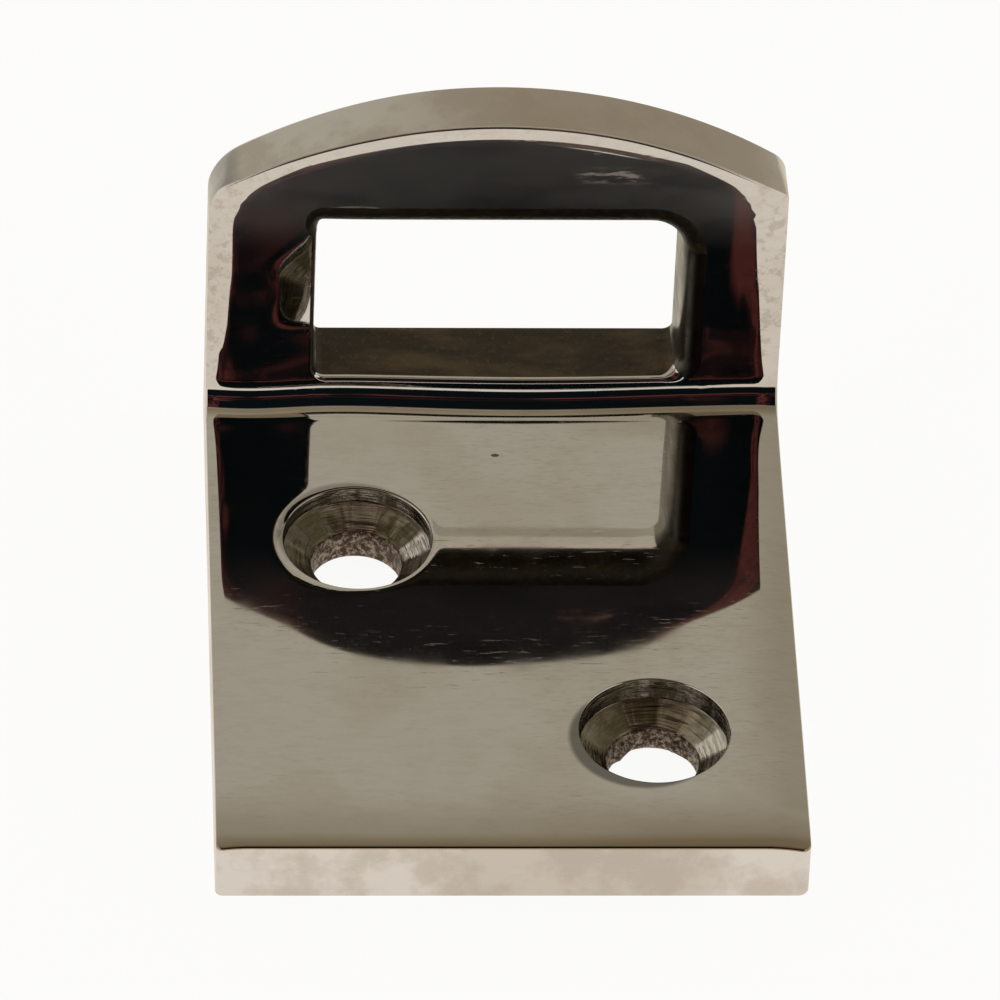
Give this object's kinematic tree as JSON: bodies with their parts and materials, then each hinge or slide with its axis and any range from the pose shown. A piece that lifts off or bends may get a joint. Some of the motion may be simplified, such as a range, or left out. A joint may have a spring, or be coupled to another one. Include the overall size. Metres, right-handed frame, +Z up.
{
  "type": "deck eye bracket",
  "caption": "Cast stainless deck eye: flat base plate with staggered countersunk screw holes and an upright, arched flange with a wide slot for strap or line.",
  "frame": {"origin": "middle of the underside of the base plate", "axes": "+Z up out of the base plate, +Y towards the upright flange at the rear, +X to the right as seen from the front"},
  "size_m": [0.04, 0.0498, 0.0294],
  "materials": {
    "polished_stainless": "buffed to a mirror by hand, with fine scuffs, rolled edges and rough cast surfaces inside the slot and the screw holes"
  },
  "bodies": {
    "root": {"bracket_casting": "polished_stainless"}
  },
  "joints": []
}
